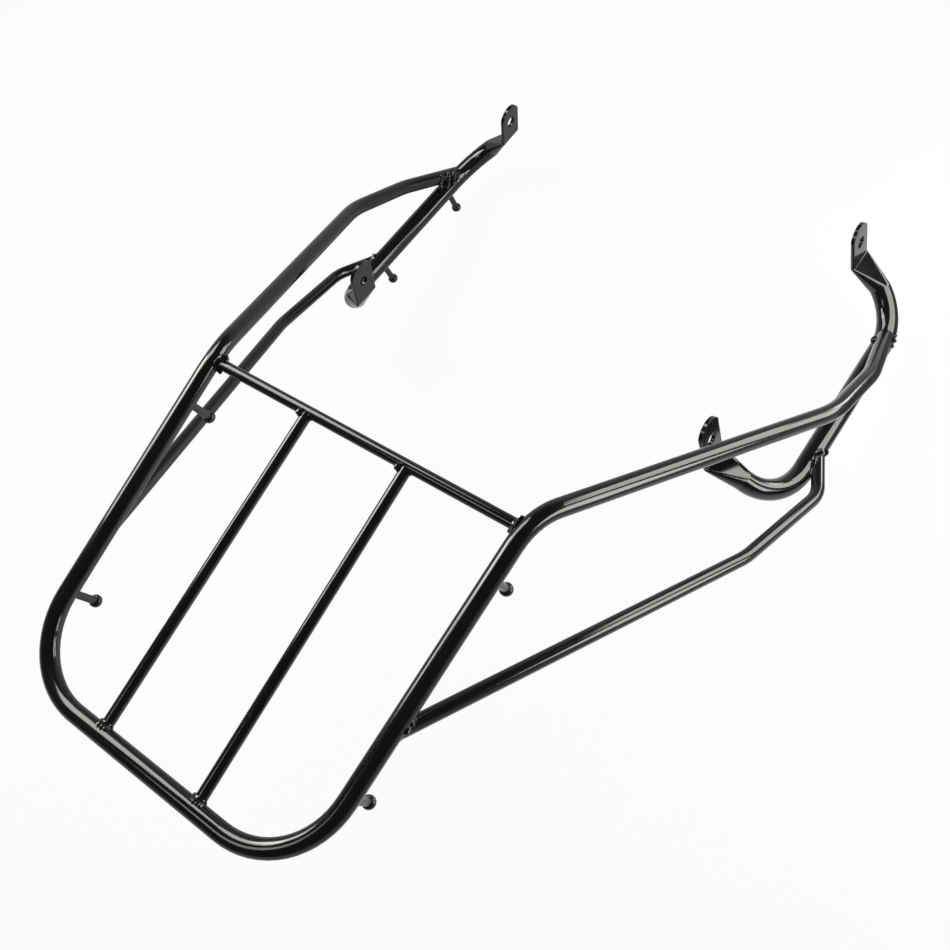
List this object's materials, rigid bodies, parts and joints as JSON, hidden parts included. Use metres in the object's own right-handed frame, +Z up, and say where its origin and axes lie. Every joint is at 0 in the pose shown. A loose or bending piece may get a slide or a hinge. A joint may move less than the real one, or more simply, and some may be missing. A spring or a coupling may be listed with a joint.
{
  "type": "motorcycle luggage rack",
  "caption": "Rear carrier of bent black tube: a flat slatted deck on sloping side arms and stays, with hand-hold tubes whose crushed ends are bolt tabs, and pegs for tie-down cords.",
  "frame": {"origin": "midway between the two upper fixing holes", "axes": "+X to the rider's right, +Y forward along the motorcycle, +Z up, with the deck level"},
  "size_m": [0.4798, 0.6109, 0.2851],
  "materials": {
    "loop_paint": "gloss black stove enamel on steel tube",
    "rod_paint": "gloss black stove enamel on steel rod",
    "grab_paint": "gloss black stove enamel, satin on the crushed tabs",
    "stay_paint": "gloss black stove enamel on steel tube",
    "peg_paint": "black stove enamel on steel pins"
  },
  "bodies": {
    "root": {"loop_tube": "loop_paint", "front_cross_bar": "rod_paint", "slat_left": "rod_paint", "slat_right": "rod_paint", "grab_tube_left": "grab_paint", "grab_tube_right": "grab_paint", "stay_left": "stay_paint", "stay_right": "stay_paint", "deck_peg_front_left": "peg_paint", "deck_peg_front_right": "peg_paint", "deck_peg_rear_left": "peg_paint", "deck_peg_rear_right": "peg_paint", "grab_peg_rear_left": "peg_paint", "grab_peg_rear_right": "peg_paint", "grab_peg_front_left": "peg_paint", "grab_peg_front_right": "peg_paint"}
  },
  "joints": []
}
